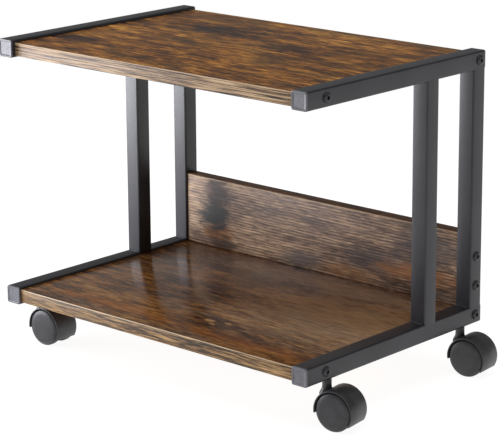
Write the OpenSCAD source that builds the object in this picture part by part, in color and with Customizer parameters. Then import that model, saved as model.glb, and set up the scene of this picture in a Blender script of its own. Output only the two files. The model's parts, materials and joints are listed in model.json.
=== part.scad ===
// Mobile printer stand. Two side frames of welded square tube carry a top shelf, a bottom
// shelf and a low back panel, and the stand rolls on four twin-wheel swivel casters.
// X is the width, the front looks along -Y and +Z is up. The floor is at z = 0, and the origin
// is the middle of the stand's box, which the trailing casters carry a little to +X.

/* [Frame] */
// Width over both side frames
frame_w = 450; // [360:5:600]
// Length of the rails from front to back
frame_d = 295; // [250:5:420]
// Height of a side frame, from the underside of its bottom rail to the top of its top rail
frame_h = 305; // [220:5:460]
// From the front end of the rails to the front of the middle post
middle_post_y = 194; // [120:2:200]

/* [Square tube] */
// Side of the square tube
tube = 20; // [18:1:25]
// Wall of the tube
tube_wall = 1.5; // [1:0.1:2]
// Outer corner radius of the tube
tube_round = 2; // [1.8:0.1:3]
// Thickness of an end cap outside the tube
cap_lip = 2; // [1:0.5:3]
// Length of an end cap's plug inside the tube
cap_plug = 4; // [2:0.5:4.5]
// Gap around the plug of an end cap
cap_gap = 0.1; // [0.05:0.05:0.4]

/* [Boards] */
// Thickness of the shelves and the back panel
board = 15; // [12:1:18]
// Thickness of the edge bands
band = 1; // [0.5:0.1:2]
// From the front end of the rails back to the front of the top shelf
top_setback = 6; // [0:1:15]
// From the front end of the rails back to the front of the bottom shelf
bottom_setback = 3; // [0:1:15]
// From the rear end of the rails forward to the rear of both shelves
rear_setback = 2; // [0:1:5]
// From the top of the top rails down to the top shelf
top_drop = 3.5; // [1:0.5:5]
// From the top of the bottom rails down to the bottom shelf
bottom_drop = 2.5; // [1:0.5:5]
// Height of the back panel above the bottom shelf
panel_h = 85; // [65:5:120]

/* [Fasteners] */
// Diameter of the bolts that hold the boards
bolt_d = 6; // [4:0.5:6]
// Diameter of a bolt's head
bolt_head_d = 11; // [9:0.5:13]
// Height of a bolt's head
bolt_head_h = 2.5; // [1.5:0.1:3.5]
// Hexagon key size of a bolt
bolt_key = 4; // [2.5:0.5:5]
// Gap around a bolt's shank in the tube
bolt_gap = 0.25; // [0.1:0.05:0.5]
// Length of a bolt inside the board
bolt_reach = 12; // [8:1:16]
// Outer diameter of a threaded insert in a board
insert_d = 9; // [8:0.5:10]
// Front bolts, from the front end of the rails
bolt_front = 31; // [20:1:34]
// Rear bolts, from the rear end of the rails
bolt_rear = 10; // [9.5:0.5:12]
// Back panel bolts, from the panel's lower and upper edges
bolt_panel = 26; // [15:1:28]
// Thin gap that a thread or a pressed pin keeps to its hole
seat_gap = 0.02; // [0.01:0.01:0.05]

/* [Casters] */
// Diameter of a wheel
wheel_d = 42; // [34:1:52]
// Width over both wheels of a caster
caster_w = 32; // [28:1:38]
// Width of one wheel
wheel_w = 9; // [7:0.5:10]
// From the swivel axis back to the wheel axle
trail = 16; // [12:1:20]
// Wall of the hood
hood_wall = 1.4; // [1.2:0.1:2.5]
// Gap between a wheel's tread and the hood
hood_gap = 0.8; // [0.5:0.1:2]
// From the axle down to the hood's lower edge
hood_skirt = 8; // [6:0.5:10]
// Tilt of the hood's lower edge, lower on the trailing side
hood_tilt = 12; // [0:1:20]
// Height from the top of the hood to the underside of the bottom rail
hood_room = 9.8; // [7:0.2:15]
// Diameter of the neck around the stem
neck_d = 10; // [9:0.5:12]
// Diameter of the stem's pin in the neck
pin_d = 6; // [5:0.5:7]
// Length of the stem's pin in the neck
pin_l = 20; // [14:1:22]
// Diameter of the stem's thread in the rail
thread_d = 8; // [6:1:8]
// Thickness of the stem's flange under the rail
flange_t = 2; // [1.5:0.5:3]
// Diameter of the wheel axle
axle_d = 5; // [4:0.5:6]
// Running gap around the stem's pin and the wheel axle
run_gap = 0.05; // [0.02:0.01:0.1]
// Gap between parts that turn past each other
turn_gap = 0.4; // [0.3:0.1:0.8]
// Front casters, from the front end of the rails to the swivel axis
caster_front = 44; // [42:1:60]
// Rear casters, from the rear end of the rails to the swivel axis
caster_rear = 24; // [24:1:50]
// Heading of the front left, front right, rear left and rear right caster at rest
caster_turn = [2, 8, 4, 6]; // [0:1:25]

/* [Hidden] */
$fn = 64;
eps = 0.01;

LEFT = -1;
RIGHT = 1;

// Radii of a wheel and of the hood's inside and outside
wheel_r = wheel_d / 2;
hood_in = wheel_r + hood_gap;
hood_r = hood_in + hood_wall;
// Height from the floor to the underside of the bottom rails
caster_h = wheel_r + hood_r + hood_room;

// Frame
front = -frame_d / 2;
rear = frame_d / 2;
rail_x = (frame_w - tube) / 2;
low_z = caster_h;
high_z = caster_h + frame_h - tube;
rail_l = frame_d - 2 * cap_lip;
post_h = frame_h - 2 * tube;
tube_in = tube - 2 * tube_wall;

// End caps: the rim around the sunk panel, how deep the panel lies, and the plug's wall
cap_rim = 3;
cap_sink = 0.5;
cap_wall = 1.5;

// Boards
board_w = frame_w - 2 * tube;
top_shelf_z = high_z + tube - top_drop - board;
bottom_shelf_z = low_z + tube - bottom_drop - board;
panel_y = rear - (tube + board) / 2;
panel_z = bottom_shelf_z + board;

// Bolts: [y, z] of each bolt on one side
bolt_places = [
    [front + bolt_front, high_z + tube / 2], [rear - bolt_rear, high_z + tube / 2],
    [front + bolt_front, low_z + tube / 2], [rear - bolt_rear, low_z + tube / 2],
    [rear - tube / 2, panel_z + bolt_panel], [rear - tube / 2, panel_z + panel_h - bolt_panel]
];
bolt_hole_d = bolt_d + 2 * bolt_gap;
insert_l = bolt_reach + 1;
key_depth = 0.7 * bolt_head_h;

// Casters
front_y = front + caster_front;
rear_y = rear - caster_rear;
hood_w = caster_w - 1;
web_w = caster_w - 2 * wheel_w - 2 * turn_gap;
neck_top = caster_h - flange_t - turn_gap;
pin_z = neck_top - pin_l;
neck_z = pin_z - turn_gap - 2;
flange_d = neck_d;
nut_d = thread_d + 3;
nut_flange_d = nut_d + 2;
nut_flange_t = 1.5;
nut_h = 12;
hub_d = axle_d + 6;
dome = 1;
dome_r = (wheel_r * wheel_r + dome * dome) / (2 * dome);
rim_t = 3;
disc_t = 3;
bore_l = wheel_w - dome - 1.6;
axle_l = caster_w - 2 * (wheel_w - bore_l + turn_gap);
ring_h = 1;
ring_z = pin_z + 4;
groove_d = pin_d - 1.2;
ring_d = pin_d + 1;

// The trailing casters reach past one side frame and the bolt heads past the other
origin_x = (trail + hood_r - tube / 2 - bolt_head_h) / 2;

// ---- Shared shapes ----

module rounded_square(side, round) {
    square([side - 2 * round, side], center = true);
    square([side, side - 2 * round], center = true);
    for (x = [-1, 1], y = [-1, 1])
        translate([x * (side / 2 - round), y * (side / 2 - round)]) circle(r = round);
}

// A length of square tube standing on z = 0
module square_tube(length) {
    linear_extrude(length) difference() {
        rounded_square(tube, tube_round);
        rounded_square(tube_in, max(tube_round - tube_wall, 0.3));
    }
}

// A cylinder along X that starts at the outer face of one side frame and runs inwards
module from_side(side, d, length, sides = 64) {
    translate([side * frame_w / 2, 0, 0]) rotate([0, -side * 90, 0])
        cylinder(d = d, h = length, $fn = sides);
}

module bolt_holes(side) {
    for (p = bolt_places) translate([0, p[0], p[1]])
        translate([side, 0, 0]) from_side(side, bolt_hole_d, tube + 2);
}

// Everything stands on the box's middle, with the swivel axes at rail_x on both sides
module centred() {
    translate([-origin_x, 0, 0]) children();
}

// ---- Side frames ----

module rail(side, z) {
    color([0.20, 0.20, 0.21]) centred() difference() {
        translate([side * rail_x, front + cap_lip, z + tube / 2])
            rotate([-90, 0, 0]) square_tube(rail_l);
        bolt_holes(side);
        if (z == low_z) for (y = [front_y, rear_y])
            translate([side * rail_x, y, z - 1]) cylinder(d = nut_d, h = tube_wall + 1 + eps);
    }
}

module post(side, y) {
    color([0.20, 0.20, 0.21]) centred() difference() {
        translate([side * rail_x, y + tube / 2, low_z + tube]) square_tube(post_h);
        bolt_holes(side);
    }
}

// An end cap: a lip with a shallow panel in its face, and a hollow plug. facing is -1 at the
// front end of a rail and 1 at its rear end.
module end_cap(side, z, facing) {
    plug = tube_in - 2 * cap_gap;
    plug_round = max(tube_round - tube_wall, 0.3);
    color([0.32, 0.32, 0.33]) centred()
        translate([side * rail_x, facing * (frame_d / 2 - cap_lip), z + tube / 2])
        rotate([-facing * 90, 0, 0]) difference() {
            union() {
                linear_extrude(cap_lip) rounded_square(tube, tube_round);
                translate([0, 0, -cap_plug]) linear_extrude(cap_plug + eps)
                    rounded_square(plug, plug_round);
            }
            translate([0, 0, cap_lip - cap_sink]) linear_extrude(cap_sink + 1)
                rounded_square(tube - 2 * cap_rim, 1);
            translate([0, 0, -cap_plug - 1]) linear_extrude(cap_plug + 1)
                rounded_square(plug - 2 * cap_wall, 0.5);
        }
}

// ---- Boards ----

// Blind holes in both side edges of a board, one for each threaded insert that lies in it
module insert_holes(places) {
    for (side = [LEFT, RIGHT], p = places) translate([-side * (tube - 1), p[0], p[1]])
        from_side(side, insert_d, insert_l + 1);
}

module shelf(z, setback, places) {
    color([0.42, 0.28, 0.17]) centred() difference() {
        translate([-board_w / 2, front + setback + band, z])
            cube([board_w, frame_d - setback - rear_setback - 2 * band, board]);
        insert_holes(places);
    }
}

module shelf_band(z, y) {
    color([0.66, 0.52, 0.38]) centred()
        translate([-board_w / 2, y, z]) cube([board_w, band, board]);
}

module back_panel() {
    color([0.47, 0.37, 0.29]) centred() difference() {
        translate([-board_w / 2, panel_y, panel_z]) cube([board_w, board, panel_h - band]);
        insert_holes([bolt_places[4], bolt_places[5]]);
    }
}

module back_panel_band() {
    color([0.28, 0.19, 0.13]) centred()
        translate([-board_w / 2, panel_y, panel_z + panel_h - band]) cube([board_w, board, band]);
}

// ---- Fasteners ----

// A low round-headed bolt with a hexagon socket, along -X from the outer face at x = 0
module bolt() {
    crown = bolt_head_h / 3;
    crown_r = (pow(bolt_head_d / 2, 2) + crown * crown) / (2 * crown);
    rotate([0, 90, 0]) difference() {
        union() {
            intersection() {
                cylinder(d = bolt_head_d, h = bolt_head_h);
                translate([0, 0, bolt_head_h - crown_r]) sphere(r = crown_r, $fn = 128);
            }
            translate([0, 0, -tube - bolt_reach]) cylinder(d = bolt_d, h = tube + bolt_reach + eps);
        }
        translate([0, 0, bolt_head_h - key_depth])
            cylinder(d = bolt_key / cos(30), h = key_depth + 1, $fn = 6);
    }
}

module bolts(side) {
    color([0.12, 0.12, 0.13]) centred() for (p = bolt_places)
        translate([side * frame_w / 2, p[0], p[1]]) mirror([side < 0 ? 1 : 0, 0, 0]) bolt();
}

module inserts(side) {
    color([0.75, 0.60, 0.28]) centred() for (p = bolt_places)
        translate([side * board_w / 2, p[0], p[1]]) rotate([0, -side * 90, 0]) difference() {
            cylinder(d = insert_d, h = insert_l);
            translate([0, 0, -1]) cylinder(d = bolt_d + 2 * seat_gap, h = insert_l);
        }
}

// A rivet nut in the underside of a bottom rail, which a caster's stem screws into
module rivet_nuts() {
    color([0.72, 0.72, 0.70]) centred() for (side = [LEFT, RIGHT], y = [front_y, rear_y])
        translate([side * rail_x, y, low_z]) difference() {
            union() {
                cylinder(d = nut_d, h = nut_h);
                translate([0, 0, tube_wall]) cylinder(d = nut_flange_d, h = nut_flange_t);
            }
            translate([0, 0, -1]) cylinder(d = thread_d + 2 * seat_gap, h = nut_h + 2);
        }
}

// ---- Casters ----

// Puts a caster's shape, drawn with its swivel axis at x = 0 and its wheels trailing to +X,
// under one bottom rail. row is 0 for the front pair and 1 for the rear pair.
module at_caster(side, row) {
    turn = caster_turn[2 * row + (side + 1) / 2];
    centred() translate([side * rail_x, row == 0 ? front_y : rear_y, 0]) rotate([0, 0, turn])
        children();
}

module stem(side, row) {
    color([0.70, 0.70, 0.68]) at_caster(side, row) difference() {
        union() {
            translate([0, 0, pin_z]) cylinder(d = pin_d, h = caster_h - pin_z);
            translate([0, 0, caster_h - flange_t]) cylinder(d = flange_d, h = flange_t);
            translate([0, 0, caster_h - eps]) cylinder(d = thread_d, h = nut_h);
        }
        translate([0, 0, ring_z]) difference() {
            cylinder(d = pin_d + 2, h = ring_h);
            translate([0, 0, -1]) cylinder(d = groove_d, h = ring_h + 2);
        }
    }
}

// Snap rings that keep the hoods on the stems
module stem_rings() {
    color([0.55, 0.55, 0.56]) for (side = [LEFT, RIGHT], row = [0, 1])
        at_caster(side, row) translate([0, 0, ring_z + seat_gap]) difference() {
            cylinder(d = ring_d, h = ring_h - 2 * seat_gap);
            translate([0, 0, -1]) cylinder(d = groove_d + 2 * seat_gap, h = ring_h + 2);
        }
}

// A cylinder along the wheel axle, centred on the caster's middle plane
module across(d, w) {
    translate([trail, w / 2, wheel_r]) rotate([90, 0, 0]) cylinder(d = d, h = w, $fn = 96);
}

// The hood: a shell over both wheels and a web between them, cut on a slant below the axle, and
// a neck for the stem
module hood(side, row) {
    color([0.11, 0.11, 0.12]) at_caster(side, row) difference() {
        union() {
            difference() {
                across(2 * hood_r, hood_w);
                difference() {
                    across(2 * hood_in, hood_w + 2);
                    across(2 * hood_in + 2, web_w);
                }
                translate([trail, 0, wheel_r]) rotate([0, hood_tilt, 0])
                    translate([-2 * hood_r, -hood_w, -2 * hood_r - hood_skirt])
                    cube([4 * hood_r, 2 * hood_w, 2 * hood_r]);
            }
            translate([0, 0, neck_z]) cylinder(d = neck_d, h = neck_top - neck_z);
        }
        across(axle_d + 2 * seat_gap, caster_w);
        translate([0, 0, pin_z - turn_gap])
            cylinder(d = pin_d + 2 * run_gap, h = pin_l + turn_gap + 1);
        translate([0, 0, ring_z - turn_gap])
            cylinder(d = ring_d + 2 * turn_gap, h = ring_h + 2 * turn_gap);
    }
}

module axle(side, row) {
    color([0.72, 0.72, 0.72]) at_caster(side, row) across(axle_d, axle_l);
}

// One wheel: a domed disc with a tread rim and a hub. place is -1 for the wheel on the caster's
// front side and 1 for the one on its rear side.
module wheel(side, row, place) {
    color([0.15, 0.15, 0.16]) at_caster(side, row)
        translate([trail, place * (caster_w / 2 - wheel_w), wheel_r]) rotate([-place * 90, 0, 0])
        difference() {
            intersection() {
                rotate_extrude($fn = 128) polygon([
                    [0, 0], [wheel_r - 1, 0], [wheel_r, 1], [wheel_r, wheel_w - dome - 1.2],
                    [wheel_r - 0.8, wheel_w - dome], [wheel_r - 0.8, wheel_w], [0, wheel_w]
                ]);
                translate([0, 0, wheel_w - dome_r]) sphere(r = dome_r, $fn = 256);
            }
            difference() {
                translate([0, 0, -1]) cylinder(r = wheel_r - rim_t, h = wheel_w - dome - disc_t + 1);
                translate([0, 0, -2]) cylinder(d = hub_d, h = wheel_w + 2);
            }
            translate([0, 0, -1]) cylinder(d = axle_d + 2 * run_gap, h = bore_l + 1);
        }
}

// ---- The stand ----

rail(LEFT, high_z);  // left_top_rail
rail(LEFT, low_z);  // left_bottom_rail
post(LEFT, front + middle_post_y);  // left_middle_post
post(LEFT, rear - tube);  // left_rear_post
rail(RIGHT, high_z);  // right_top_rail
rail(RIGHT, low_z);  // right_bottom_rail
post(RIGHT, front + middle_post_y);  // right_middle_post
post(RIGHT, rear - tube);  // right_rear_post

end_cap(LEFT, high_z, -1);  // left_top_front_cap
end_cap(LEFT, high_z, 1);  // left_top_rear_cap
end_cap(LEFT, low_z, -1);  // left_bottom_front_cap
end_cap(LEFT, low_z, 1);  // left_bottom_rear_cap
end_cap(RIGHT, high_z, -1);  // right_top_front_cap
end_cap(RIGHT, high_z, 1);  // right_top_rear_cap
end_cap(RIGHT, low_z, -1);  // right_bottom_front_cap
end_cap(RIGHT, low_z, 1);  // right_bottom_rear_cap

shelf(top_shelf_z, top_setback, [bolt_places[0], bolt_places[1]]);  // top_shelf
shelf_band(top_shelf_z, front + top_setback);  // top_shelf_front_band
shelf_band(top_shelf_z, rear - rear_setback - band);  // top_shelf_rear_band
shelf(bottom_shelf_z, bottom_setback, [bolt_places[2], bolt_places[3]]);  // bottom_shelf
shelf_band(bottom_shelf_z, front + bottom_setback);  // bottom_shelf_front_band
shelf_band(bottom_shelf_z, rear - rear_setback - band);  // bottom_shelf_rear_band
back_panel();
back_panel_band();  // back_panel_top_band

bolts(LEFT);  // left_bolts
bolts(RIGHT);  // right_bolts
inserts(LEFT);  // left_inserts
inserts(RIGHT);  // right_inserts
rivet_nuts();

stem(LEFT, 0);  // front_left_stem
stem(RIGHT, 0);  // front_right_stem
stem(LEFT, 1);  // rear_left_stem
stem(RIGHT, 1);  // rear_right_stem
stem_rings();

hood(LEFT, 0);  // front_left_hood
hood(RIGHT, 0);  // front_right_hood
hood(LEFT, 1);  // rear_left_hood
hood(RIGHT, 1);  // rear_right_hood
axle(LEFT, 0);  // front_left_axle
axle(RIGHT, 0);  // front_right_axle
axle(LEFT, 1);  // rear_left_axle
axle(RIGHT, 1);  // rear_right_axle

wheel(LEFT, 0, -1);  // front_left_front_wheel
wheel(LEFT, 0, 1);  // front_left_rear_wheel
wheel(RIGHT, 0, -1);  // front_right_front_wheel
wheel(RIGHT, 0, 1);  // front_right_rear_wheel
wheel(LEFT, 1, -1);  // rear_left_front_wheel
wheel(LEFT, 1, 1);  // rear_left_rear_wheel
wheel(RIGHT, 1, -1);  // rear_right_front_wheel
wheel(RIGHT, 1, 1);  // rear_right_rear_wheel
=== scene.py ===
"""Mobile printer stand: two welded side frames of square tube, two shelves and a low back panel
of wood-look laminate board bolted between them, and four twin-wheel swivel casters."""

import json
import math

import bmesh
import bpy
from mathutils import Matrix, Vector


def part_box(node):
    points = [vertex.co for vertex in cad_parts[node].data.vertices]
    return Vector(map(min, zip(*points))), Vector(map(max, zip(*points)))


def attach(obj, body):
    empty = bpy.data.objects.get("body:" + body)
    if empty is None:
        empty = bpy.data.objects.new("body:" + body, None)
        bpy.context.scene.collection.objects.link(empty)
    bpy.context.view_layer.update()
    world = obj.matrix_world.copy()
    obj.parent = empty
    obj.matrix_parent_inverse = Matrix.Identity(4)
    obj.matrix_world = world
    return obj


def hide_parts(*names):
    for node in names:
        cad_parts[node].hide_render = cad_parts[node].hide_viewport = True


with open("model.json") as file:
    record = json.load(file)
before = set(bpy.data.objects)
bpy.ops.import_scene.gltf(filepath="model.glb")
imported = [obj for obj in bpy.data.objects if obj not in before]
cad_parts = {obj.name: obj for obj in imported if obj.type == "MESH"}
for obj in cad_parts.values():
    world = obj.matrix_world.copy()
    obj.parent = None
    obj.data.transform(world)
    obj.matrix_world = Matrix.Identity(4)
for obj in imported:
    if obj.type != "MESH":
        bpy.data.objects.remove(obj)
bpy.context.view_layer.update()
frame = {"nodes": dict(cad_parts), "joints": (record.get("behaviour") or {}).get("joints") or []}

MM = 0.001


# ---- Powder-coated square tube ----
# Each side frame is four lengths of 20 mm square steel tube, butt welded, ground flush and
# powder coated a soft black. One node tree draws a tube; it is run once for each length.

class Sock:
    """A shader socket that can be used in sums."""

    def __init__(self, finish, out):
        self.finish, self.out = finish, out

    def math(self, operation, a, b):
        return self.finish.node("ShaderNodeMath", {"operation": operation}, {0: a, 1: b})

    def __add__(self, other):
        return self.math("ADD", self, other)

    def __sub__(self, other):
        return self.math("SUBTRACT", self, other)

    def __mul__(self, other):
        return self.math("MULTIPLY", self, other)

    def __rsub__(self, other):
        return self.math("SUBTRACT", other, self)

    __radd__, __rmul__ = __add__, __mul__


class Finish:
    """A material and the ways to add nodes to it."""

    def __init__(self, name):
        self.material = bpy.data.materials.new(name)
        self.material.use_nodes = True
        self.tree = self.material.node_tree
        self.shader = self.tree.nodes["Principled BSDF"]
        self.place = self.node("ShaderNodeTexCoord", out="Object")

    def node(self, kind, settings=None, values=None, out=0):
        made = self.tree.nodes.new(kind)
        for key, value in (settings or {}).items():
            if key == "stops":
                stops = made.color_ramp.elements
                while len(stops) < len(value):
                    stops.new(0.5)
                for stop, (at, colour) in zip(stops, value):
                    stop.position, stop.color = at, colour
            else:
                setattr(made, key, value)
        for key, value in (values or {}).items():
            self.join(made.inputs[key], value)
        return Sock(self, made.outputs[out])

    def join(self, socket, value):
        if isinstance(value, Sock):
            self.tree.links.new(value.out, socket)
        else:
            socket.default_value = value

    def set(self, **values):
        for key, value in values.items():
            self.join(self.shader.inputs[key.replace("_", " ")], value)

    def stretched(self, x, y, z, shift=(0, 0, 0)):
        """The piece's own coordinates, in metres, stretched to x, y and z cells a metre."""
        return self.node("ShaderNodeMapping", {}, {
            "Vector": self.place, "Location": shift, "Scale": (x, y, z)})

    def noise(self, at, detail=2.0, roughness=0.5, distortion=0.0):
        """Noise from 0 to 1 at a point whose cells are 1 across."""
        return self.node("ShaderNodeTexNoise", {}, {
            "Vector": at, "Scale": 1.0, "Detail": detail, "Roughness": roughness,
            "Distortion": distortion})

    def between(self, value, low, high, to_low=0.0, to_high=1.0):
        """value from low to high, eased to 0 to 1 or to the given range."""
        return self.node("ShaderNodeMapRange", {"interpolation_type": "SMOOTHSTEP"}, {
            "Value": value, "From Min": low, "From Max": high,
            "To Min": to_low, "To Max": to_high})

    def blend(self, amount, a, b, mode="MIX"):
        """Colour a turned to colour b by amount."""
        return self.node("ShaderNodeMix", {"data_type": "RGBA", "blend_type": mode}, {
            0: amount, 6: a, 7: b}, out=2)

    def ramp(self, value, *stops):
        return self.node("ShaderNodeValToRGB", {"stops": stops}, {"Fac": value})

    def bump(self, height, depth, strength=1.0):
        """A normal from a height of 0 to 1 that stands for depth metres."""
        return self.node("ShaderNodeBump", {}, {
            "Height": height, "Strength": strength, "Distance": depth})


def paint(red, green, blue):
    """A screen colour from 0 to 255 as the light it gives."""
    def light(c):
        c /= 255
        return c / 12.92 if c <= 0.04045 else ((c + 0.055) / 1.055) ** 2.4
    return (light(red), light(green), light(blue), 1.0)


def powder_coat():
    f = Finish("powder_coat_black")
    cloud = f.noise(f.stretched(18, 18, 18), 3.0)
    peel = f.noise(f.stretched(900, 900, 900), 2.0, 0.6)
    fleck = f.noise(f.stretched(2600, 2600, 2600), 1.0)
    tone = f.between(cloud, 0.3, 0.7)
    colour = f.blend(tone, paint(35, 35, 40), paint(45, 45, 50))
    colour = f.blend(f.between(fleck, 0.66, 0.8) * 0.3, colour, paint(84, 84, 88))
    f.set(Base_Color=colour, Roughness=f.between(peel, 0.2, 0.8, 0.27, 0.37),
          Normal=f.bump(peel, 0.00008, 0.5), Specular_IOR_Level=0.45)
    return f.material


coat = powder_coat()


def socket_name(tree, name):
    return next(i.identifier for i in tree.interface.items_tree
                if i.item_type == "SOCKET" and i.in_out == "INPUT" and i.name == name)


def grow(name, tree, **inputs):
    """Runs a node tree with the given inputs and returns its result as a plain mesh object."""
    seed_mesh = bpy.data.meshes.new(name + "_seed")
    host = bpy.data.objects.new(name + "_host", seed_mesh)
    bpy.context.scene.collection.objects.link(host)
    modifier = host.modifiers.new("grow", "NODES")
    modifier.node_group = tree
    for key, value in inputs.items():
        modifier[socket_name(tree, key)] = value
    bpy.context.view_layer.update()
    made = bpy.data.meshes.new_from_object(host.evaluated_get(
        bpy.context.evaluated_depsgraph_get()))
    made.name = name
    host.modifiers.remove(modifier)
    bpy.data.objects.remove(host)
    piece = bpy.data.objects.new(name, made)
    bpy.context.scene.collection.objects.link(piece)
    return piece


class Shape:
    """A geometry node tree and the ways to add nodes to it."""

    def __init__(self, name, **inputs):
        self.tree = bpy.data.node_groups.new(name, "GeometryNodeTree")
        self.tree.interface.new_socket("Geometry", in_out="OUTPUT",
                                       socket_type="NodeSocketGeometry")
        kinds = {float: "NodeSocketFloat", int: "NodeSocketInt", tuple: "NodeSocketVector"}
        for key, value in inputs.items():
            if isinstance(value, (bpy.types.Material, bpy.types.Object)):
                kind = "NodeSocket" + type(value).__name__
            else:
                kind = kinds[type(value)]
            made = self.tree.interface.new_socket(key, in_out="INPUT", socket_type=kind)
            made.default_value = value
        self.inputs = self.tree.nodes.new("NodeGroupInput").outputs

    def node(self, kind, settings=None, values=None, out=0):
        made = self.tree.nodes.new(kind)
        for key, value in (settings or {}).items():
            setattr(made, key, value)
        for key, value in (values or {}).items():
            if isinstance(value, bpy.types.NodeSocket):
                self.tree.links.new(value, made.inputs[key])
            else:
                made.inputs[key].default_value = value
        return made.outputs[out]

    def end(self, geometry, material):
        """Realizes what was instanced, gives it its material and closes the tree."""
        real = self.node("GeometryNodeRealizeInstances", {}, {0: geometry})
        done = self.node("GeometryNodeSetMaterial", {}, {"Geometry": real, "Material": material})
        last = self.tree.nodes.new("NodeGroupOutput")
        self.tree.links.new(done, last.inputs[0])
        return self.tree


def tube_tree():
    """A closed length of square tube from Start to End, with rounded corners."""
    s = Shape("square_tube", Start=(0.0, 0.0, 0.0), End=(0.0, 0.0, 1.0), Side=0.02,
              Corner=0.002, Coat=coat)
    i = s.inputs
    line = s.node("GeometryNodeCurvePrimitiveLine", {}, {"Start": i["Start"], "End": i["End"]})
    square = s.node("GeometryNodeCurvePrimitiveQuadrilateral", {}, {
        "Width": i["Side"], "Height": i["Side"]})
    profile = s.node("GeometryNodeFilletCurve", {"mode": "POLY"}, {
        "Curve": square, "Radius": i["Corner"], "Count": 6})
    swept = s.node("GeometryNodeCurveToMesh", {}, {
        "Curve": line, "Profile Curve": profile, "Fill Caps": True})
    return s.end(swept, i["Coat"])


TUBE_CORNER = 2 * MM
tube_shape = tube_tree()
for side in ("left", "right"):
    for part, along, into in (("top_rail", 1, 0), ("bottom_rail", 1, 0),
                              ("middle_post", 2, TUBE_CORNER), ("rear_post", 2, TUBE_CORNER)):
        node = f"{side}_{part}"
        low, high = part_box(node)
        start, end = (low + high) / 2, (low + high) / 2
        start[along], end[along] = low[along] - into, high[along] + into
        tube = grow(node + "_tube", tube_shape, Start=start, End=end,
                    Side=high[0] - low[0], Corner=TUBE_CORNER, Coat=coat)
        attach(tube, "root")
        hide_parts(node)


# ---- Weld beads ----
# A short fillet weld closes each corner where a post stands on or hangs from a rail, in front
# of the post, and behind the middle post. The outer and inner faces of the joints are ground flush.

BEAD_RADIUS = 0.9 * MM


def dots(name, points):
    """A mesh of loose points, for instances to stand on."""
    mesh = bpy.data.meshes.new(name)
    mesh.from_pydata(points, [], [])
    made = bpy.data.objects.new(name, mesh)
    bpy.context.scene.collection.objects.link(made)
    return made


def bead_tree(joints, length):
    """One rippled bead along X at every point of a set of joints."""
    s = Shape("weld_beads", Joints=joints, Length=length, Radius=BEAD_RADIUS,
              Ripple=0.3 * BEAD_RADIUS, Coat=coat)
    i = s.inputs
    points = s.node("GeometryNodeObjectInfo", {}, {"Object": i["Joints"]}, out="Geometry")
    half = s.node("ShaderNodeMath", {"operation": "MULTIPLY"}, {0: i["Length"], 1: 0.5})
    end = s.node("ShaderNodeCombineXYZ", {}, {"X": half})
    start = s.node("ShaderNodeVectorMath", {"operation": "SCALE"}, {"Vector": end, "Scale": -1.0},
                   out="Vector")
    line = s.node("GeometryNodeCurvePrimitiveLine", {}, {"Start": start, "End": end})
    fine = s.node("GeometryNodeResampleCurve", {}, {"Curve": line, "Count": 41})
    ripple = s.node("ShaderNodeTexNoise", {"noise_dimensions": "1D"}, {
        "W": s.node("GeometryNodeInputIndex"), "Scale": 0.37})
    radius = s.node("ShaderNodeMath", {"operation": "MULTIPLY_ADD"}, {
        0: ripple, 1: i["Ripple"], 2: i["Radius"]})
    thread = s.node("GeometryNodeCurveToMesh", {}, {
        "Curve": fine, "Scale": radius, "Fill Caps": True,
        "Profile Curve": s.node("GeometryNodeCurvePrimitiveCircle", {}, {"Resolution": 10})})
    placed = s.node("GeometryNodeInstanceOnPoints", {}, {"Points": points, "Instance": thread})
    return s.end(placed, i["Coat"])


for side in ("left", "right"):
    corners = []
    for part in ("middle_post", "rear_post"):
        low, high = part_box(f"{side}_{part}")
        faces = [low.y] if part == "rear_post" else [low.y, high.y]
        corners += [((low.x + high.x) / 2, y, z) for y in faces for z in (low.z, high.z)]
    joints = dots("joints", corners)
    beads = grow(f"{side}_frame_weld_beads", bead_tree(joints, high.x - low.x - 5 * MM),
                 Joints=joints)
    bpy.data.objects.remove(joints)
    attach(beads, "root")


# ---- Tube end caps ----
# A ribbed plastic plug is pushed into each open rail end. Its lip is as wide as the tube, with
# a rounded rim and a shallow square panel in its face.

def rounded_square(side, corner, depth, count=6):
    """A ring of points round a square with rounded corners, in the XZ plane at y = depth."""
    ring = []
    to_corner = (side / 2 - corner) * math.sqrt(2)
    for quarter in range(4):
        turn = quarter * math.pi / 2
        cx = to_corner * math.cos(turn + math.pi / 4)
        cz = to_corner * math.sin(turn + math.pi / 4)
        for step in range(count + 1):
            a = turn + step / count * math.pi / 2
            ring.append(Vector((cx + corner * math.cos(a), depth, cz + corner * math.sin(a))))
    return ring


def circle(radius, height, count=64, flats=0):
    """A ring of points round the Z axis, on a circle or on a polygon with that many flats."""
    ring = []
    for step in range(count):
        a = 2 * math.pi * step / count
        if flats:
            slice_angle = 2 * math.pi / flats
            reach = radius / math.cos((a % slice_angle) - slice_angle / 2)
        else:
            reach = radius
        ring.append(Vector((reach * math.cos(a), reach * math.sin(a), height)))
    return ring


def loft(bm, rings):
    """Joins rings of equally many points, and closes the first and the last."""
    made = [[bm.verts.new(p) for p in ring] for ring in rings]
    for a, b in zip(made, made[1:]):
        for k in range(len(a)):
            bm.faces.new((a[k], a[k - 1], b[k - 1], b[k]))
    bm.faces.new(made[0])
    bm.faces.new(list(reversed(made[-1])))


def finish_mesh(name, bm, material, place=Matrix(), smooth_below=35):
    """Turns a bmesh into a piece with its place in its mesh and its faces pointing out."""
    bmesh.ops.transform(bm, matrix=place, verts=bm.verts)
    bmesh.ops.recalc_face_normals(bm, faces=bm.faces)
    for face in bm.faces:
        face.smooth = True
    for edge in bm.edges:
        edge.smooth = edge.calc_face_angle(0) < math.radians(smooth_below)
    mesh = bpy.data.meshes.new(name)
    bm.to_mesh(mesh)
    bm.free()
    mesh.materials.append(material)
    made = bpy.data.objects.new(name, mesh)
    bpy.context.scene.collection.objects.link(made)
    return made


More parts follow.
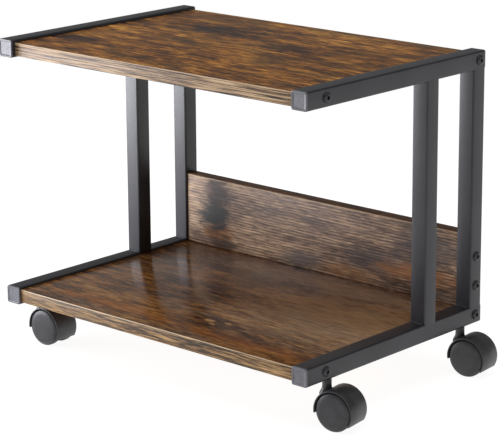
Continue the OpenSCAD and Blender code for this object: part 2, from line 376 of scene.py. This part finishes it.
def cap_plastic():
    f = Finish("cap_plastic_black_painted_sheen")
    grain = f.noise(f.stretched(1400, 1400, 1400), 2.0, 0.6)
    cloud = f.noise(f.stretched(160, 160, 160), 2.0)
    # The black plastic is given a mid-grey colour: a painted sheen standing in for the light its faces
    # reflect.
    colour = f.blend(f.between(cloud, 0.3, 0.7), paint(94, 94, 100), paint(106, 106, 112))
    f.set(Base_Color=colour, Roughness=f.between(grain, 0.2, 0.8, 0.34, 0.48),
          Normal=f.bump(grain, 0.00006, 0.5))
    return f.material


cap_finish = cap_plastic()
for side in ("left", "right"):
    for level in ("top", "bottom"):
        for end, outward in (("front", -1), ("rear", 1)):
            node = f"{side}_{level}_{end}_cap"
            low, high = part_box(node)
            face_y = high.y if outward > 0 else low.y
            plug_l = high.y - low.y
            width = high.x - low.x
            bm = bmesh.new()
            loft(bm, [rounded_square(w * MM + width, c * MM, outward * -d * MM) for w, c, d in (
                (-3.6, 0.6, plug_l / MM), (-3.2, 0.6, plug_l / MM - 0.4), (-3.2, 0.6, 2.0),
                (-0.3, 1.8, 2.0), (0, 2.0, 1.85), (0, 2.0, 0.7), (-0.25, 1.9, 0.25),
                (-0.8, 1.7, 0), (-4.8, 1.2, 0), (-5.2, 1.0, 0.12), (-5.6, 0.8, 0.45))])
            place = Matrix.Translation(((low.x + high.x) / 2, face_y, (low.z + high.z) / 2))
            cap = finish_mesh(node + "_plug", bm, cap_finish, place, 40)
            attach(cap, "root")
            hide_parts(node)


# ---- Laminate boards ----
# The shelves and the back panel are 15 mm particle board faced with a rustic oak print: long
# streaks of brown and gold, smoky patches, a few knots, and fine saw lines on the back panel.
# The bottom shelf also carries a painted sheen, lighter and greyer at its right side and rear.

def laminate(name, seed, tones, weights, smoke, saw, gloss, shades=(), stains_and_sheen=(), worn=None,
             length=1.0, fineness=1.0, waver=1.0):
    """A printed wood face whose grain runs along X, from dark to pale tones.
    weights: how strongly fine grain, streaks, gold flames and broad clouds move the tone.
    smoke: two colours and how much of them lies over the board. saw: strength of saw lines.
    shades: places, their reach, and how far each moves the tone, for print patches or, on the
    bottom shelf, a painted sheen. stains: places, their reach, strength and colour, of print marks
    or of a painted sheen. worn: the height and colour of a rubbed upper arris. length and
    fineness stretch and crowd the lines, waver bends them."""
    f = Finish(name)
    sway = f.noise(f.stretched(3.0, 11, 11, (seed, 0, 0)), 2.0) - 0.5
    bend = f.node("ShaderNodeCombineXYZ", {}, {
        "Y": sway * (0.012 * waver), "Z": sway * (0.006 * waver)})
    bent = f.node("ShaderNodeVectorMath", {"operation": "ADD"}, {0: f.place, 1: bend})

    def grain(along, across, shift, detail=4.0, roughness=0.6, distortion=0.0):
        at = f.node("ShaderNodeMapping", {}, {
            "Vector": bent, "Location": (seed + shift, shift, shift * 2),
            "Scale": (along / length, across, across)})
        return f.noise(at, detail, roughness, distortion)

    rough_edge = grain(45, 140, 61.7, 4.0, 0.7) - 0.5

    def spot(at, reach):
        """1 in the middle of a ragged spot, 0 outside it."""
        centred = f.node("ShaderNodeMapping", {"vector_type": "TEXTURE"}, {
            "Vector": bent, "Location": at, "Scale": reach})
        away = f.node("ShaderNodeVectorMath", {"operation": "LENGTH"}, {0: centred}, out="Value")
        return f.between(away + rough_edge * 2.2, 1.3, 0.35)

    fine = grain(70, 900 * fineness, 33.3, 2.0, 0.6)
    streak = grain(28, 300 * fineness, 21.7, 4.0, 0.64, 0.15)
    flame = grain(14, 72, 13.1, 5.0, 0.68, 0.4)
    cloud = grain(6.5, 20, 7.7, 5.0, 0.62, 0.4)
    tone = 0.5
    for layer, weight in zip((fine, streak, flame, cloud), weights):
        tone = (layer - 0.5) * weight + tone
    for at, reach, shift in shades:
        tone = tone + spot(at, reach) * shift
    height = f.node("ShaderNodeSeparateXYZ", {}, {0: bent}, out="Z")
    if saw:
        wave = f.node("ShaderNodeMath", {"operation": "SINE"}, {0: height * 1800 + flame * 3.0})
        tone = tone + wave * f.between(streak, 0.28, 0.52) * saw
    colour = f.ramp(tone, *tones)
    veil = f.between(cloud * 0.4 + grain(9, 26, 47.9, 5.0, 0.62, 0.5) * 0.6
                     + (streak - 0.5) * 0.35, 0.5, 0.62)
    dull = f.blend(f.between(fine * 0.5 + streak * 0.5, 0.38, 0.62), paint(*smoke[0]),
                   paint(*smoke[1]))
    colour = f.blend(veil * smoke[2], colour, dull)
    # Each entry blends a colour into a ragged patch: a print mark, or on the bottom shelf a pale
    # painted sheen.
    for at, reach, amount, tint in stains_and_sheen:
        colour = f.blend(spot(at, reach) * amount, colour, paint(*tint))
    depth = f.between(fine * 0.5 + streak * 0.5, 0.34, 0.66, 0.74, 1.22)
    colour = f.blend(1.0, colour, f.node("ShaderNodeCombineColor", {}, {
        0: depth, 1: depth, 2: depth}), "MULTIPLY")
    if worn:
        top = f.node("ShaderNodeSeparateXYZ", {}, {0: f.place}, out="Z")
        colour = f.blend(f.between(top, worn[0] - 1.3 * MM, worn[0] - 0.5 * MM)
                         * f.between(rough_edge, -0.25, 0.0, 0.45, 0.9), colour, paint(*worn[1]))
    relief = streak * 0.5 + fine * 0.5
    f.set(Base_Color=colour, Roughness=f.between(streak, 0.25, 0.75, gloss - 0.04, gloss + 0.07),
          Normal=f.bump(relief, 0.0001, 0.3), Specular_IOR_Level=0.4)
    return f.material


ARRIS = 0.35 * MM


def board(name, low, high, material, arris=ARRIS):
    """A closed board with its arrises rounded over."""
    bm = bmesh.new()
    bmesh.ops.create_cube(bm, size=1)
    bmesh.ops.scale(bm, vec=high - low, verts=bm.verts)
    bmesh.ops.bevel(bm, geom=bm.edges, offset=arris, offset_type="OFFSET", segments=3,
                    profile=0.5, affect="EDGES", clamp_overlap=True)
    return finish_mesh(name, bm, material, Matrix.Translation((low + high) / 2), 50)


top_low, top_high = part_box("top_shelf")
bay_low, bay_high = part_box("bottom_shelf")
back_low, back_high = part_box("back_panel")


def on_board(low, high, across, back, up=1.0):
    """A place on a board, as shares of its width, depth and height."""
    size = high - low
    return (low.x + across * size.x, low.y + back * size.y, low.z + up * size.z)


def tones(*stops):
    """Ramp stops from pairs of a position and a screen colour."""
    return [(at, paint(*colour)) for at, colour in stops]


top_finish = laminate(
    "top_shelf_laminate", 3.0,
    tones((0.14, (36, 20, 8)), (0.34, (84, 48, 16)), (0.5, (130, 80, 27)),
          (0.66, (176, 114, 38)), (0.88, (226, 166, 78))),
    (0.9, 1.0, 1.2, 0.9), ((40, 28, 16), (86, 62, 34), 0.8), 0.0, 0.46,
    [(on_board(top_low, top_high, across, back), (0.001 * along, 0.001 * deep, 0.03), shift)
     for across, back, along, deep, shift in (
         (0.31, 0.71, 62, 22, -0.26), (0.65, 0.60, 52, 22, -0.28), (0.08, 0.24, 36, 14, -0.2),
         (0.40, 0.11, 22, 10, -0.2), (0.93, 0.55, 20, 16, -0.15), (0.05, 0.5, 52, 20, 0.12),
         (0.27, 0.88, 52, 16, 0.12), (0.5, 0.94, 92, 12, 0.14), (0.65, 0.26, 36, 14, 0.2),
         (0.67, 0.8, 52, 14, 0.12), (0.85, 0.85, 40, 12, 0.1))])
# On the bottom shelf the pale smoke colour is print smoke made paler and greyer as a painted sheen,
# and the lightened right side and rear band (the shades at 0.86, 0.5 and 0.7, 0.84) and the two pale
# grey-brown patches at the right and rear are a painted sheen of light lying on the shelf; the rest is
# print.
bay_finish = laminate(
    "bottom_shelf_laminate", 11.0,
    tones((0.12, (38, 23, 12)), (0.34, (80, 50, 26)), (0.5, (116, 76, 40)),
          (0.66, (156, 106, 52)), (0.9, (202, 154, 92))),
    (0.7, 0.9, 1.1, 1.0), ((58, 45, 36), (124, 102, 82), 0.8), 0.0, 0.17,
    [(on_board(bay_low, bay_high, across, back), (0.001 * along, 0.001 * deep, 0.03), shift)
     for across, back, along, deep, shift in (
         (0.86, 0.5, 130, 110, 0.2), (0.3, 0.1, 100, 12, 0.12), (0.75, 0.07, 90, 12, 0.1),
         (0.66, 0.2, 60, 12, -0.2), (0.35, 0.5, 90, 40, -0.08), (0.585, 0.2, 9, 4, 0.7),
         (0.64, 0.21, 5, 3, 0.7), (0.61, 0.17, 5, 2, 0.6), (0.7, 0.84, 170, 18, 0.16))],
    [(on_board(bay_low, bay_high, 0.32, 0.1), (0.1, 0.012, 0.03), 0.5, (160, 92, 26)),
     (on_board(bay_low, bay_high, 0.8, 0.08), (0.1, 0.014, 0.03), 0.45, (156, 88, 26)),
     # These two pale grey-brown patches, at the right and along the rear, are a painted sheen.
     (on_board(bay_low, bay_high, 0.88, 0.52), (0.14, 0.1, 0.03), 0.6, (184, 152, 118)),
     (on_board(bay_low, bay_high, 0.6, 0.84), (0.24, 0.03, 0.03), 0.7, (160, 140, 122))])
back_finish = laminate(
    "back_panel_laminate", 19.0,
    tones((0.1, (62, 44, 30)), (0.32, (100, 76, 58)), (0.5, (136, 108, 86)),
          (0.68, (172, 142, 112)), (0.9, (206, 176, 142))),
    (1.0, 0.65, 0.8, 0.8), ((58, 50, 46), (112, 98, 90), 0.7), 0.14, 0.5,
    [(on_board(back_low, back_high, 0.03, 0.0, 0.6), (0.03, 0.03, 0.05), 0.16),
     (on_board(back_low, back_high, 0.3, 0.0, 0.4), (0.07, 0.03, 0.03), 0.1),
     (on_board(back_low, back_high, 0.85, 0.0, 0.5), (0.09, 0.03, 0.08), -0.14)],
    [(on_board(back_low, back_high, 0.12, 0.0, 0.22), (0.026, 0.03, 0.014), 0.9, (140, 84, 22)),
     (on_board(back_low, back_high, 0.118, 0.0, 0.86), (0.018, 0.03, 0.022), 0.9, (78, 38, 6)),
     (on_board(back_low, back_high, 0.125, 0.0, 0.62), (0.017, 0.03, 0.045), 0.95, (44, 20, 2)),
     (on_board(back_low, back_high, 0.105, 0.0, 0.46), (0.026, 0.03, 0.02), 0.97, (8, 4, 1)),
     (on_board(back_low, back_high, 0.135, 0.0, 0.06), (0.03, 0.03, 0.008), 0.75, (44, 30, 22)),
     (on_board(back_low, back_high, 0.035, 0.0, 0.14), (0.012, 0.03, 0.008), 0.7, (70, 46, 26)),
     (on_board(back_low, back_high, 0.46, 0.0, 0.14), (0.03, 0.03, 0.012), 0.6, (84, 80, 84)),
     (on_board(back_low, back_high, 0.9, 0.0, 0.66), (0.05, 0.03, 0.024), 0.6, (72, 68, 72)),
     (on_board(back_low, back_high, 0.74, 0.0, 0.36), (0.05, 0.03, 0.016), 0.5, (80, 74, 76)),
     (on_board(back_low, back_high, 0.86, 0.0, 0.3), (0.06, 0.03, 0.012), 0.6, (172, 112, 58)),
     (on_board(back_low, back_high, 0.62, 0.0, 0.1), (0.05, 0.03, 0.008), 0.45, (170, 118, 66))],
    (back_high.z, (206, 176, 140)), fineness=1.3, waver=0.3)
for name, low, high, finish in (
        ("top_shelf", top_low, top_high, top_finish),
        ("bottom_shelf", bay_low, bay_high, bay_finish),
        ("back_panel", back_low, back_high, back_finish)):
    piece = board(name + "_board", low, high, finish)
    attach(piece, "root")
    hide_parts(name)
    name + "_laminate"


# ---- Edge bands ----
# A thin printed band is ironed on to the front and rear edges of the shelves and to the top of
# the back panel. The front ones show pale end-grain stripes and a lighter, worn upper arris.

band_finishes = {
    "top_shelf": laminate(
        "top_edge_band", 5.0,
        tones((0.1, (38, 26, 17)), (0.38, (86, 62, 42)), (0.5, (140, 110, 80)),
              (0.7, (168, 138, 103)), (0.95, (192, 164, 128))),
        (2.2, 1.8, 0.6, 0.5), ((108, 80, 58), (178, 146, 110), 0.5), 0.0, 0.5,
        worn=(top_high.z, (206, 178, 148)), length=3.2, fineness=1.5, waver=0.1),
    "bottom_shelf": laminate(
        "bottom_edge_band", 15.0,
        tones((0.1, (44, 31, 20)), (0.34, (82, 60, 38)), (0.5, (124, 92, 56)),
              (0.68, (160, 124, 78)), (0.92, (188, 150, 102))),
        (2.0, 1.6, 0.9, 0.7), ((62, 48, 36), (116, 92, 66), 0.7), 0.0, 0.45,
        worn=(bay_high.z, (214, 188, 154)), length=1.6, fineness=1.5, waver=0.1),
    "back_panel": laminate(
        "back_panel_edge_band", 25.0,
        tones((0.1, (46, 28, 14)), (0.5, (92, 62, 34)), (0.9, (136, 96, 54))),
        (1.0, 0.8, 0.6, 0.6), ((38, 30, 24), (70, 58, 46), 0.6), 0.0, 0.5, waver=0.3)}
for board_name, sides in (("top_shelf", ("front", "rear")), ("bottom_shelf", ("front", "rear")),
                          ("back_panel", ("top",))):
    for side in sides:
        node = f"{board_name}_{side}_band"
        low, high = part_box(node)
        piece = board(node + "_strip", low, high, band_finishes[board_name], ARRIS)
        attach(piece, "root")
        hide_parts(node)


# ---- Frame bolts ----
# Button-head hexagon-socket bolts go through the tubes into threaded inserts in the ends of the
# boards. The bolts are black, the inserts brass.

def metal(name, tone, dark, roughness, coat_speck):
    """A plated or turned metal with fine scratches round it and dull specks."""
    f = Finish(name)
    cloud = f.noise(f.stretched(260, 260, 260), 3.0)
    brushed = f.noise(f.stretched(700, 700, 4200), 3.0, 0.6)
    speck = f.noise(f.stretched(2100, 2100, 2100), 1.0)
    colour = f.blend(f.between(cloud, 0.3, 0.7), tone, dark)
    colour = f.blend(f.between(speck, 0.62, 0.8) * coat_speck, colour, dark)
    f.set(Base_Color=colour, Metallic=1.0,
          Roughness=f.between(brushed, 0.2, 0.8, roughness - 0.06, roughness + 0.1),
          Normal=f.bump(brushed, 0.00003, 0.35))
    return f.material


def bolt_finish():
    f = Finish("bolt_black_oxide")
    cloud = f.noise(f.stretched(420, 420, 420), 3.0)
    speck = f.noise(f.stretched(2400, 2400, 2400), 1.0)
    f.set(Base_Color=f.blend(f.between(cloud, 0.3, 0.7), paint(44, 44, 46), paint(58, 58, 61)),
          Metallic=0.35, Roughness=f.between(speck, 0.3, 0.75, 0.34, 0.5),
          Normal=f.bump(speck, 0.00003, 0.3))
    return f.material


BOLT_HEAD_R, BOLT_IN_PANEL = 5.5 * MM, 26 * MM


def bolt_mesh(material, reach):
    """A button-head bolt along +X, its head's seat at x = 0 and its shank behind."""
    bm = bmesh.new()
    key_side, key_depth = 4 * MM, 1.6 * MM
    shank, head, rise = 3 * MM, BOLT_HEAD_R, 2.35 * MM
    flats = 6
    loft(bm, [
        circle(shank - 0.5 * MM, -reach, 48), circle(shank, 0.5 * MM - reach, 48),
        circle(shank, 0, 48), circle(head - 0.15 * MM, 0, 48), circle(head, 0.2 * MM, 48),
        circle(head, 0.6 * MM, 48), circle(head - 0.35 * MM, 1.25 * MM, 48),
        circle(head - 1.0 * MM, 1.85 * MM, 48), circle(head - 1.8 * MM, 2.28 * MM, 48),
        circle(head - 2.6 * MM, rise, 48),
        circle(key_side / 2 * 1.02 + 0.1 * MM, rise, 48, flats),
        circle(key_side / 2, rise - 0.12 * MM, 48, flats),
        circle(key_side / 2, rise - key_depth, 48, flats)])
    return finish_mesh("bolt_pattern", bm, material, Matrix.Rotation(math.pi / 2, 4, "Y"), 30)


def bolt_tree(seats, pattern, finish):
    """A bolt on every seat, each with its socket turned its own way, its head facing outward."""
    s = Shape("frame_bolts", Seats=seats, Pattern=pattern, Facing=0.0, Seed=7, Finish=finish)
    i = s.inputs
    points = s.node("GeometryNodeObjectInfo", {}, {"Object": i["Seats"]}, out="Geometry")
    shape = s.node("GeometryNodeObjectInfo", {}, {"Object": i["Pattern"]}, out="Geometry")
    turn = s.node("FunctionNodeRandomValue", {"data_type": "FLOAT"}, {
        2: 0.0, 3: math.tau, "Seed": i["Seed"]}, out=1)
    aim = s.node("ShaderNodeCombineXYZ", {}, {"X": turn, "Z": i["Facing"]})
    placed = s.node("GeometryNodeInstanceOnPoints", {}, {
        "Points": points, "Instance": shape, "Rotation": aim})
    return s.end(placed, i["Finish"])


oxide = bolt_finish()
brass = metal("insert_brass", paint(205, 172, 98), paint(150, 118, 58), 0.3, 0.4)
bright = metal("bright_zinc_plate", paint(196, 196, 198), paint(140, 140, 144), 0.3, 0.3)
pattern = bolt_mesh(oxide, 32 * MM)
panel_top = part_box("back_panel_top_band")[1].z
for side, facing in (("left", math.pi), ("right", 0.0)):
    low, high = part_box(f"{side}_bottom_rail")
    seat_x = low.x if facing else high.x
    low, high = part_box(f"{side}_bolts")
    front_y, rear_y = low.y + BOLT_HEAD_R, high.y - BOLT_HEAD_R
    levels = (low.z + BOLT_HEAD_R, high.z - BOLT_HEAD_R)
    seats = dots("seats", [(seat_x, y, z) for z in levels for y in (front_y, rear_y)]
                 + [(seat_x, rear_y, back_low.z + BOLT_IN_PANEL),
                    (seat_x, rear_y, panel_top - BOLT_IN_PANEL)])
    bolts = grow(f"{side}_frame_bolts", bolt_tree(seats, pattern, oxide),
                 Seats=seats, Pattern=pattern, Facing=facing, Finish=oxide)
    bpy.data.objects.remove(seats)
    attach(bolts, "root")
    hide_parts(f"{side}_bolts")
    frame["nodes"][f"{side}_inserts"].data.materials.clear()
    frame["nodes"][f"{side}_inserts"].data.materials.append(brass)
bpy.data.objects.remove(pattern)


# ---- Caster hardware ----
# Each caster hangs on a zinc-plated stem screwed into a rivet nut in the bottom rail. A snap
# ring holds the hood on the stem, and a plain pin carries the wheels.

for node in ("rivet_nuts", "stem_rings", *(
        f"{row}_{side}_{part}" for row in ("front", "rear") for side in ("left", "right")
        for part in ("stem", "axle"))):
    frame["nodes"][node].data.materials.clear()
    frame["nodes"][node].data.materials.append(bright)


# ---- Caster hoods ----
# A moulded nylon hood wraps over both wheels, with its lower edge cut on a slant. Its web
# carries the axle, and its neck turns on the stem and flares a little into the crown.

def nylon(name, tone, pale, roughness):
    """Moulded nylon with a fine spark-eroded grain and faint flow clouds."""
    f = Finish(name)
    cloud = f.noise(f.stretched(70, 70, 70), 3.0, 0.5, 0.6)
    grain = f.noise(f.stretched(1800, 1800, 1800), 2.0, 0.6)
    scuff = f.noise(f.stretched(240, 240, 1500), 2.0, 0.7)
    colour = f.blend(f.between(cloud, 0.35, 0.68), tone, pale)
    colour = f.blend(f.between(scuff, 0.62, 0.75) * 0.3, colour, pale)
    f.set(Base_Color=colour, Roughness=f.between(grain, 0.2, 0.8, roughness - 0.05, roughness + 0.1),
          Normal=f.bump(grain, 0.00004, 0.45))
    return f.material


def swept_about_y(bm, profile, skirt, tilt, count=64):
    """Sweeps a closed (y, r) profile over the top of the Y axis, cut off by a plane that passes
    that far below the axis and dips towards +X by the angle tilt."""
    rings = []
    for step in range(count + 1):
        share = step / count
        ring = []
        for y, r in profile:
            dip = math.asin(min(1.0, skirt / r))
            a = share * (math.pi + 2 * dip) - dip - tilt
            ring.append(Vector((r * math.cos(a), y, r * math.sin(a))))
        rings.append(ring)
    loft(bm, rings)


def lathed(bm, profile, place, count=64):
    """A closed turned shape round Z from (r, z) points, put in place."""
    rings = [circle(r, z, count) for r, z in profile]
    start = len(bm.verts)
    loft(bm, rings)
    bm.verts.ensure_lookup_table()
    bmesh.ops.transform(bm, matrix=place, verts=bm.verts[start:])


hood_finish = nylon("caster_hood_nylon", paint(46, 46, 48), paint(60, 60, 62), 0.38)
wheel_finish = nylon("caster_wheel_nylon", paint(34, 34, 37), paint(46, 46, 49), 0.4)
WHEEL_R, WHEEL_W, CASTER_W = 21 * MM, 9 * MM, 32 * MM
HOOD_IN, HOOD_R, HOOD_W, WEB_W = 21.8 * MM, 23.2 * MM, 31 * MM, 13.2 * MM
SKIRT, TILT = 8 * MM, math.radians(12)
AXIS_ALONG_Y = Matrix.Rotation(math.radians(-90), 4, "X")
joints = {j["name"]: j for j in frame["joints"]}
for row in ("front", "rear"):
    for side in ("left", "right"):
        corner = f"{row}_{side}"
        pivot = Vector(joints[f"{corner}_swivel_turn"]["pos_m"])
        hub = Vector(joints[f"{corner}_front_wheel_roll"]["pos_m"])
        trail = (hub - pivot).xy.length
        heading = Matrix.Rotation(math.atan2(hub.y - pivot.y, hub.x - pivot.x), 4, "Z")
        at_hub = Matrix.Translation(hub) @ heading
        bm = bmesh.new()
        web, edge, bore, boss = WEB_W / 2, HOOD_W / 2, 3.05 * MM, SKIRT + 0.01 * MM
        half_profile = [(web, SKIRT), (web, HOOD_IN - 1.2 * MM),
                        (web + 0.35 * MM, HOOD_IN - 0.35 * MM), (web + 1.2 * MM, HOOD_IN),
                        (edge - 0.3 * MM, HOOD_IN), (edge, HOOD_IN + 0.3 * MM),
                        (edge, HOOD_R - 0.6 * MM), (edge - 0.18 * MM, HOOD_R - 0.18 * MM),
                        (edge - 0.6 * MM, HOOD_R)]
        swept_about_y(bm, half_profile + [(-y, r) for y, r in reversed(half_profile)], SKIRT, TILT)
        lathed(bm, [(bore, -web), (boss, -web), (boss, web), (bore, web),
                    (bore, 0.2 * MM - web)], AXIS_ALONG_Y)
        neck_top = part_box(f"{corner}_hood")[1].z - hub.z
        neck = Matrix.Translation((-trail, 0, 0))
        flare = [(8.0 * MM, 14.5 * MM), (7.4 * MM, 16.4 * MM), (6.2 * MM, 18.4 * MM),
                 (5.4 * MM, 20.4 * MM), (5.08 * MM, 22.4 * MM), (5.0 * MM, 24.4 * MM),
                 (5.0 * MM, neck_top - 0.5 * MM), (4.85 * MM, neck_top - 0.15 * MM),
                 (4.5 * MM, neck_top)]
        lathed(bm, [(1.0 * MM, 8.0 * MM), (7.0 * MM, 8.0 * MM)] + flare + [
            (3.1 * MM, neck_top), (3.1 * MM, neck_top - 16 * MM), (1.0 * MM, neck_top - 16 * MM)],
            neck)
        hood = finish_mesh(f"{corner}_hood_shell", bm, hood_finish, at_hub, 32)
        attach(hood, f"{corner}_swivel")
        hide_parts(f"{corner}_hood")

        # Each wheel is a shallow domed disc with a rounded tread, and stiffening ribs on the
        # hidden side.
        for place, outward in (("front", -1), ("rear", 1)):
            bm = bmesh.new()
            t, w, rim = WHEEL_R, WHEEL_W, 3 * MM
            lathed(bm, [
                (2.55 * MM, 0.2 * MM), (2.8 * MM, 0), (5.2 * MM, 0), (5.5 * MM, 0.3 * MM),
                (5.5 * MM, w - 4.4 * MM), (6.1 * MM, w - 4.0 * MM), (t - rim - 0.6 * MM, w - 4.0 * MM),
                (t - rim, w - 4.6 * MM), (t - rim, 0.4 * MM), (t - rim + 0.4 * MM, 0),
                (t - 1.0 * MM, 0), (t - 0.3 * MM, 0.3 * MM), (t, 1.0 * MM), (t, w - 3.4 * MM),
                (t - 0.3 * MM, w - 2.4 * MM), (t - 1.0 * MM, w - 1.5 * MM),
                (t - 1.9 * MM, w - 1.02 * MM), (t - 2.6 * MM, w - 0.8 * MM),
                (t - 2.85 * MM, w - 0.88 * MM), (t - 3.1 * MM, w - 0.74 * MM),
                (15 * MM, w - 0.48 * MM), (9 * MM, w - 0.2 * MM), (4.6 * MM, w - 0.06 * MM),
                (2.0 * MM, w - 0.01 * MM), (0.05 * MM, w - 0.01 * MM), (0.05 * MM, w - 2.0 * MM),
                (2.55 * MM, w - 2.6 * MM), (2.55 * MM, 0.25 * MM)], Matrix(), 96)
            ribs = 8
            for k in range(ribs):
                fin = bmesh.ops.create_cube(bm, size=1)["verts"]
                bmesh.ops.scale(bm, vec=(t - rim - 5.4 * MM + 0.8 * MM, 1.2 * MM, w - 5.2 * MM),
                                verts=fin)
                reach = (t - rim + 5.4 * MM) / 2
                bmesh.ops.transform(
                    bm, matrix=Matrix.Rotation(k * math.tau / ribs, 4, "Z")
                    @ Matrix.Translation((reach, 0, (w - 5.2 * MM) / 2 + 1.4 * MM)), verts=fin)
            stand = Matrix.Translation((0, outward * (CASTER_W / 2 - WHEEL_W), 0))
            face = Matrix.Rotation(-outward * math.pi / 2, 4, "X")
            wheel = finish_mesh(f"{corner}_{place}_wheel_disc", bm, wheel_finish,
                                at_hub @ stand @ face, 30)
            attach(wheel, f"{corner}_{place}_wheel_body")
            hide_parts(f"{corner}_{place}_wheel")


# ---- Floor, light and camera ----
# The stand is on a plain white floor that glows a little, so its shadow stays faint. A wide
# sheet of soft light hangs above, and a low card stands at the front left of the posts.

def floor_finish():
    f = Finish("studio_floor")
    f.set(Base_Color=(0.25, 0.25, 0.25, 1.0), Roughness=0.8, Specular_IOR_Level=0.0,
          Emission_Color=(1.0, 1.0, 1.0, 1.0), Emission_Strength=0.92)
    return f.material


bm = bmesh.new()
bmesh.ops.create_grid(bm, x_segments=1, y_segments=1, size=30)
floor = finish_mesh("floor", bm, floor_finish())

scene = bpy.context.scene
scene.view_settings.view_transform = "Standard"
world = bpy.data.worlds.new("studio")
world.use_nodes = True
world.node_tree.nodes["Background"].inputs["Color"].default_value = (1.0, 1.0, 1.0, 1.0)
world.node_tree.nodes["Background"].inputs["Strength"].default_value = 0.22
scene.world = world


def soft_light(name, place, aim, size, glow, tint=(1.0, 1.0, 1.0)):
    """A rectangle of light of that size in metres, whose face is glow times as bright as white."""
    lamp = bpy.data.lights.new(name, "AREA")
    lamp.shape, lamp.size, lamp.size_y = "RECTANGLE", size[0], size[1]
    lamp.energy = glow * math.pi * size[0] * size[1]
    lamp.color = tint
    made = bpy.data.objects.new(name, lamp)
    made.location = place
    made.rotation_euler = (Vector(aim) - Vector(place)).to_track_quat("-Z", "Y").to_euler()
    made.visible_camera = False
    scene.collection.objects.link(made)
    return made


soft_light("sky_sheet", (0.0, -0.3, 2.2), (0, 0, 0.2), (2.4, 2.0), 1.7)
soft_light("left_card", (-0.975, -0.564, 0.18), (-0.33, 0.163, 0.18), (0.77, 0.35), 13,
           (0.92, 0.93, 1.0))

AZIMUTH, ELEVATION, ROLL = math.radians(41.57), math.radians(13.79), math.radians(-0.19)
DISTANCE, SENSOR_W, FOCAL_SHARE = 2.131, 36, 4.37675
AIM = Vector((0.21165, -0.1475, 0.354))
ASIDE, UPWARD = 0.0291, 0.0683
back = Vector((math.sin(AZIMUTH) * math.cos(ELEVATION), -math.cos(AZIMUTH) * math.cos(ELEVATION),
               math.sin(ELEVATION)))
right = Vector((math.cos(AZIMUTH), math.sin(AZIMUTH), 0))
up = back.cross(right)
turned = Matrix.Rotation(ROLL, 3, back)
right, up = turned @ right, turned @ up
eye = bpy.data.cameras.new("camera")
eye.sensor_width, eye.lens = SENSOR_W, SENSOR_W * FOCAL_SHARE
eye.shift_x, eye.shift_y = -0.05411, -0.1002
eye.clip_end = 100
camera = bpy.data.objects.new("camera", eye)
camera.matrix_world = Matrix.Translation(AIM + back * DISTANCE - right * ASIDE - up * UPWARD) @ (
    Matrix((right, up, back)).transposed().to_4x4())
scene.collection.objects.link(camera)
scene.camera = camera
